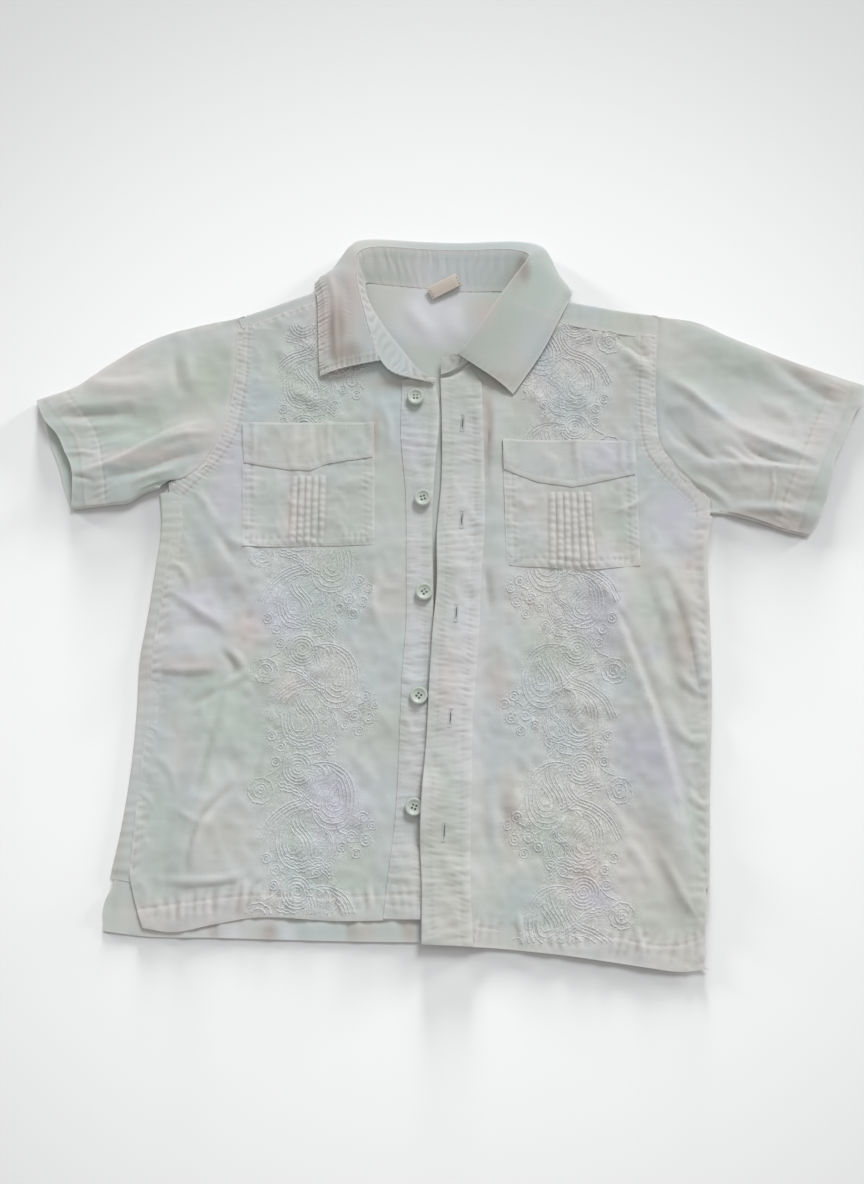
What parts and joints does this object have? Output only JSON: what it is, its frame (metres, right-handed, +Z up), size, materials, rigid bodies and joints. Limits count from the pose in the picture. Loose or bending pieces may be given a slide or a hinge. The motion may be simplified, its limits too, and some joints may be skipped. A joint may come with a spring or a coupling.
{
  "type": "linen shirt",
  "caption": "Child's short-sleeved linen shirt with a two-piece collar, tucked flap pockets and a button front, unbuttoned and laid flat on its back.",
  "frame": {"origin": "on the table, under the middle of the shirt's bounding box", "axes": "+X to the wearer's left across the shirt, +Y from the hem towards the collar, +Z up from the table"},
  "size_m": [0.5572, 0.4838, 0.0166],
  "materials": {
    "linen": "washed plain-weave linen, matte, blotched in pale mint, lilac and pinkish white",
    "band_linen": "washed plain-weave linen, two layers, matte",
    "button_shell": "pearly, satin gloss",
    "label_tape": "plain woven tape, matte"
  },
  "bodies": {
    "root": {"back_panel": "linen", "front_right": "linen", "front_left": "linen", "pocket_right": "linen", "pocket_left": "linen", "pocket_flap_right": "linen", "pocket_flap_left": "linen", "sleeve_right": "linen", "sleeve_left": "linen", "collar_stand": "linen", "collar_leaf": "linen", "placket_buttons": "band_linen", "placket_buttonholes": "band_linen", "button_1": "button_shell", "button_2": "button_shell", "button_3": "button_shell", "button_4": "button_shell", "button_5": "button_shell", "neck_label": "label_tape"}
  },
  "joints": []
}
